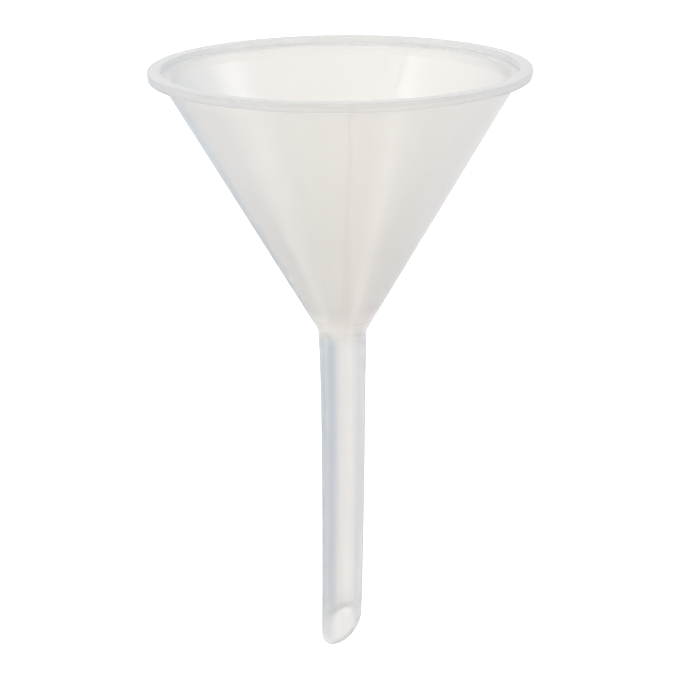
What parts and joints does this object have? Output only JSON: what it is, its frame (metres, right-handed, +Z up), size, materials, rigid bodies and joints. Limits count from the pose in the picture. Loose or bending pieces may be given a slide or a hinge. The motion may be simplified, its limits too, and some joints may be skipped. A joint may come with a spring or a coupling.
{
  "type": "laboratory funnel",
  "caption": "Translucent plastic laboratory funnel with a flanged, stepped rim, a 60 degree cone and a long stem cut at a slant.",
  "frame": {"origin": "on the funnel's axis, level with the flat underside of the flange, where a ring or a rack holds the funnel", "axes": "+Z up along the axis, from the stem to the mouth; +X to the side that the short edge of the slanted tip is on, seen from the front; +Y to the back"},
  "size_m": [0.1, 0.1, 0.1645],
  "materials": {
    "natural_polypropylene": "milky translucent moulded polypropylene, satin, uncoloured"
  },
  "bodies": {
    "root": {"rim_flange": "natural_polypropylene", "rim_collar": "natural_polypropylene", "cone_upper": "natural_polypropylene", "cone_middle": "natural_polypropylene", "cone_lower": "natural_polypropylene", "neck": "natural_polypropylene", "stem": "natural_polypropylene", "stem_tip": "natural_polypropylene"}
  },
  "joints": []
}
